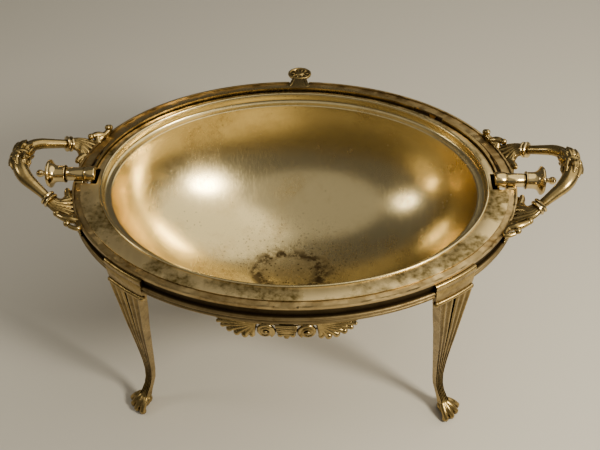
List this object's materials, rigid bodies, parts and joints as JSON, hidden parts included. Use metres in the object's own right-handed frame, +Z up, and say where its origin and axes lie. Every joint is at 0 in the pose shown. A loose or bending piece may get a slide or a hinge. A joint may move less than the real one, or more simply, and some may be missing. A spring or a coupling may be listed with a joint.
{
  "type": "roll top chafer",
  "caption": "Oval roll top chafer: a footed frame holds a deep pan, and a half-dome lid rolls on end pivots from under the pan to over it.",
  "frame": {"origin": "on the floor, under the middle of the overall box", "axes": "+X along the long axis to the right, +Y to the back, where the open lid's handle is, +Z up"},
  "size_m": [0.427, 0.2692, 0.2166],
  "materials": {
    "pan_plate": "worn silver plate, stained",
    "lid_plate": "tarnished silver plate",
    "frame_plate": "tarnished silver plate",
    "cast_plate": "cast, silver plated, dark in the recesses",
    "turned_plate": "turned, silver plated",
    "pin_steel": "turned steel",
    "brass_fixing": "bare brass"
  },
  "bodies": {
    "frame": {"back_ornament": "cast_plate", "bearing_left": "turned_plate", "bearing_right": "turned_plate", "frame_band": "frame_plate", "frame_moulding": "frame_plate", "front_ornament": "cast_plate", "handle_collars_left": "cast_plate", "handle_collars_right": "cast_plate", "handle_grip_left": "cast_plate", "handle_grip_right": "cast_plate", "handle_mount_back_left": "cast_plate", "handle_mount_back_right": "cast_plate", "handle_mount_front_left": "cast_plate", "handle_mount_front_right": "cast_plate", "handle_screws": "brass_fixing", "leg_back_left": "cast_plate", "leg_back_right": "cast_plate", "leg_front_left": "cast_plate", "leg_front_right": "cast_plate", "leg_screws": "brass_fixing", "pan_bowl": "pan_plate", "pan_flange": "pan_plate", "pan_rim_wire": "pan_plate"},
    "lid": {"lid_dome": "lid_plate", "lid_handle": "cast_plate", "lid_handle_rivets": "brass_fixing", "lid_lug_left": "lid_plate", "lid_lug_right": "lid_plate", "lid_rim_long": "lid_plate", "lid_rim_short": "lid_plate"},
    "nut_left": {"pivot_pin_left": "pin_steel", "thumb_nut_left": "turned_plate"},
    "nut_right": {"pivot_pin_right": "pin_steel", "thumb_nut_right": "turned_plate"}
  },
  "joints": [
    {"name": "lid_roll", "type": "hinge", "parent": "frame", "child": "lid", "pos_m": [0, -0.00665, 0.191], "axis": [1, 0, 0], "range_deg": [0, 180]},
    {"name": "nut_left_turn", "type": "hinge", "parent": "frame", "child": "nut_left", "pos_m": [-0.178, -0.00665, 0.191], "axis": [1, 0, 0], "continuous": true},
    {"name": "nut_right_turn", "type": "hinge", "parent": "frame", "child": "nut_right", "pos_m": [0.178, -0.00665, 0.191], "axis": [1, 0, 0], "continuous": true}
  ]
}
